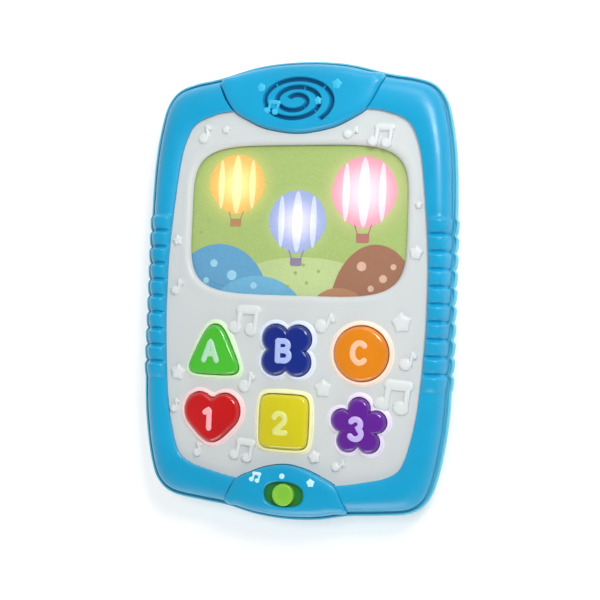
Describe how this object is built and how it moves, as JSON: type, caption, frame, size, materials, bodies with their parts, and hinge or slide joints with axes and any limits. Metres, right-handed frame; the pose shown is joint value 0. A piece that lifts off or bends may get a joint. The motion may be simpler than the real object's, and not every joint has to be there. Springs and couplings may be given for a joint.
{
  "type": "toy learning tablet",
  "caption": "One-piece toy learning tablet: blue ribbed frame, white face with a lit picture window, coloured letter and number push buttons, mode slider, speaker grille and rear battery door.",
  "frame": {"origin": "middle of the rear face, where the toy lies on a table", "axes": "+X to the right when reading it, +Y towards the speaker end, +Z out of the front face"},
  "size_m": [0.1634, 0.2328, 0.0314],
  "materials": {
    "rear_case": "satin",
    "front_frame": "gloss",
    "speaker_panel": "gloss",
    "switch_panel": "gloss",
    "faceplate": "satin",
    "screen_window": "clear",
    "picture_card": "printed",
    "light_box": "matte",
    "led_strip": "matte",
    "led_1": "clear",
    "led_2": "clear",
    "led_3": "clear",
    "button_a": "gloss",
    "button_b": "gloss",
    "button_c": "gloss",
    "button_1": "gloss",
    "button_2": "gloss",
    "button_3": "gloss",
    "main_board": "satin",
    "sound_chip": "matte",
    "speaker_basket": "satin",
    "speaker_magnet": "matte",
    "speaker_cone": "matte",
    "switch_body": "satin",
    "switch_lever": "satin",
    "mode_slider": "gloss",
    "battery_door": "satin",
    "door_screw": "satin",
    "cell_1": "satin",
    "cell_2": "satin",
    "contact_bridge": "bright",
    "contact_tab_1": "bright",
    "contact_tab_2": "bright",
    "contact_spring_1": "bright",
    "contact_spring_2": "bright",
    "speaker_lead_1": "satin",
    "speaker_lead_2": "satin",
    "battery_lead_1": "satin",
    "battery_lead_2": "satin",
    "dome_a": "matte",
    "dome_b": "matte",
    "dome_c": "matte",
    "dome_1": "matte",
    "dome_2": "matte",
    "dome_3": "matte",
    "board_screw_1": "satin",
    "board_screw_2": "satin",
    "board_screw_3": "satin",
    "board_screw_4": "satin",
    "case_screw_top_left": "satin",
    "case_screw_top_right": "satin",
    "case_screw_side_left": "satin",
    "case_screw_side_right": "satin",
    "case_screw_bottom_left": "satin",
    "case_screw_bottom_right": "satin"
  },
  "bodies": {
    "case": {"rear_case": "rear_case", "front_frame": "front_frame", "speaker_panel": "speaker_panel", "switch_panel": "switch_panel", "faceplate": "faceplate", "screen_window": "screen_window", "picture_card": "picture_card", "light_box": "light_box", "led_strip": "led_strip", "led_1": "led_1", "led_2": "led_2", "led_3": "led_3", "main_board": "main_board", "sound_chip": "sound_chip", "speaker_basket": "speaker_basket", "speaker_magnet": "speaker_magnet", "speaker_cone": "speaker_cone", "switch_body": "switch_body", "cell_1": "cell_1", "cell_2": "cell_2", "contact_bridge": "contact_bridge", "contact_tab_1": "contact_tab_1", "contact_tab_2": "contact_tab_2", "contact_spring_1": "contact_spring_1", "contact_spring_2": "contact_spring_2", "speaker_lead_1": "speaker_lead_1", "speaker_lead_2": "speaker_lead_2", "battery_lead_1": "battery_lead_1", "battery_lead_2": "battery_lead_2", "dome_a": "dome_a", "dome_b": "dome_b", "dome_c": "dome_c", "dome_1": "dome_1", "dome_2": "dome_2", "dome_3": "dome_3", "board_screw_1": "board_screw_1", "board_screw_2": "board_screw_2", "board_screw_3": "board_screw_3", "board_screw_4": "board_screw_4", "case_screw_top_left": "case_screw_top_left", "case_screw_top_right": "case_screw_top_right", "case_screw_side_left": "case_screw_side_left", "case_screw_side_right": "case_screw_side_right", "case_screw_bottom_left": "case_screw_bottom_left", "case_screw_bottom_right": "case_screw_bottom_right"},
    "button_a": {"button_a": "button_a"},
    "button_b": {"button_b": "button_b"},
    "button_c": {"button_c": "button_c"},
    "button_1": {"button_1": "button_1"},
    "button_2": {"button_2": "button_2"},
    "button_3": {"button_3": "button_3"},
    "mode_slider": {"mode_slider": "mode_slider", "switch_lever": "switch_lever"},
    "battery_door": {"battery_door": "battery_door", "door_screw": "door_screw"}
  },
  "joints": [
    {"name": "press_a", "type": "slide", "parent": "case", "child": "button_a", "axis": [0, 0, -1], "range_m": [0, 0.0016], "stiffness_N_per_m": 800, "deforming": ["dome_a"]},
    {"name": "press_b", "type": "slide", "parent": "case", "child": "button_b", "axis": [0, 0, -1], "range_m": [0, 0.0016], "stiffness_N_per_m": 800, "deforming": ["dome_b"]},
    {"name": "press_c", "type": "slide", "parent": "case", "child": "button_c", "axis": [0, 0, -1], "range_m": [0, 0.0016], "stiffness_N_per_m": 800, "deforming": ["dome_c"]},
    {"name": "press_1", "type": "slide", "parent": "case", "child": "button_1", "axis": [0, 0, -1], "range_m": [0, 0.0016], "stiffness_N_per_m": 800, "deforming": ["dome_1"]},
    {"name": "press_2", "type": "slide", "parent": "case", "child": "button_2", "axis": [0, 0, -1], "range_m": [0, 0.0016], "stiffness_N_per_m": 800, "deforming": ["dome_2"]},
    {"name": "press_3", "type": "slide", "parent": "case", "child": "button_3", "axis": [0, 0, -1], "range_m": [0, 0.0016], "stiffness_N_per_m": 800, "deforming": ["dome_3"]},
    {"name": "mode_slide", "type": "slide", "parent": "case", "child": "mode_slider", "axis": [1, 0, 0], "range_m": [-0.0042, 0.0042]},
    {"name": "door_lift", "type": "slide", "parent": "case", "child": "battery_door", "axis": [0, 0, -1], "range_m": [0, 0.02]}
  ]
}
